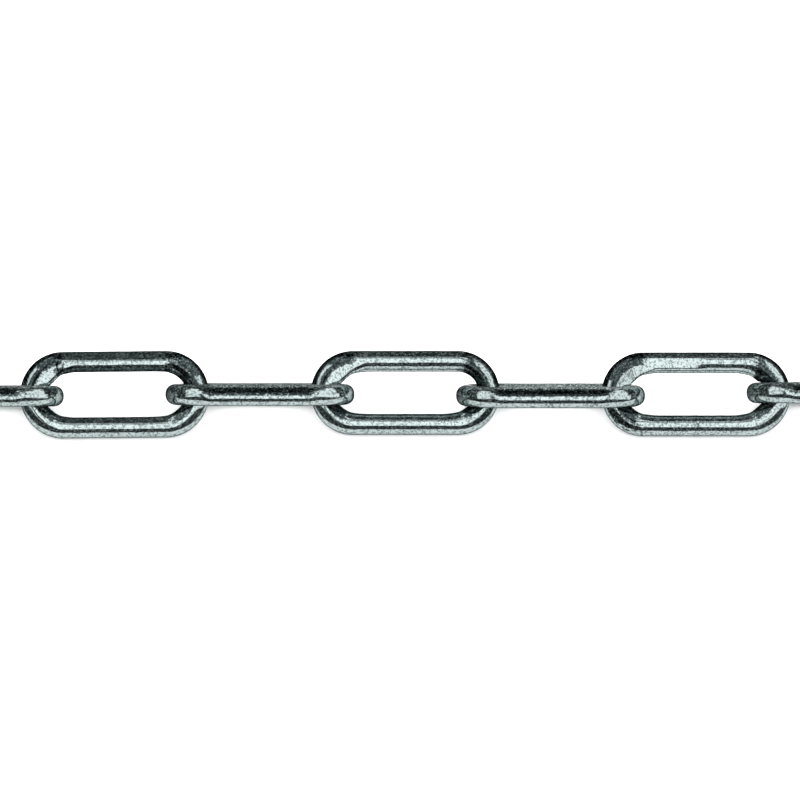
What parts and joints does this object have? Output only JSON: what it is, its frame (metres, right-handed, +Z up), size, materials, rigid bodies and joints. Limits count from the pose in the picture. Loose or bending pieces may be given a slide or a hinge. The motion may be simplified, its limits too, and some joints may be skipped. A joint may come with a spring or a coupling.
{
  "type": "steel chain",
  "caption": "Straight length of long-link welded steel chain: round-bar links stand square to each other, each lying on one bar and swinging on its neighbour's bow.",
  "frame": {"origin": "on the floor, under the middle of the chain's box", "axes": "+X along the chain from link_1 to link_7, +Z up; +Y follows by the right hand"},
  "size_m": [0.303, 0.0202, 0.0193],
  "materials": {
    "steel": "bright drawn steel bar, bare, with light draw marks and handling wear"
  },
  "bodies": {
    "link_4": {"link_4": "steel"},
    "link_3": {"link_3": "steel"},
    "link_2": {"link_2": "steel"},
    "link_1": {"link_1": "steel"},
    "link_5": {"link_5": "steel"},
    "link_6": {"link_6": "steel"},
    "link_7": {"link_7": "steel"}
  },
  "joints": [
    {"name": "swing_3", "type": "hinge", "parent": "link_4", "child": "link_3", "pos_m": [-0.024, 0.00075, 0.00936], "axis": [0, 0.7071, 0.7071], "range_deg": [-120, 120]},
    {"name": "swing_2", "type": "hinge", "parent": "link_3", "child": "link_2", "pos_m": [-0.0655, 0.00035, 0.00917], "axis": [0, 0.7278, -0.6858], "range_deg": [-120, 120]},
    {"name": "swing_1", "type": "hinge", "parent": "link_2", "child": "link_1", "pos_m": [-0.107, -0.00058, 0.00965], "axis": [-0.0099, 0.707, 0.7071], "range_deg": [-120, 120]},
    {"name": "swing_5", "type": "hinge", "parent": "link_4", "child": "link_5", "pos_m": [0.024, 0.00075, 0.00936], "axis": [0, 0.7071, 0.7071], "range_deg": [-120, 120]},
    {"name": "swing_6", "type": "hinge", "parent": "link_5", "child": "link_6", "pos_m": [0.0655, 0.00005, 0.00896], "axis": [0, 0.749, -0.6626], "range_deg": [-120, 120]},
    {"name": "swing_7", "type": "hinge", "parent": "link_6", "child": "link_7", "pos_m": [0.107, 0.00015, 0.00936], "axis": [0, 0.7071, 0.7071], "range_deg": [-120, 120]}
  ]
}
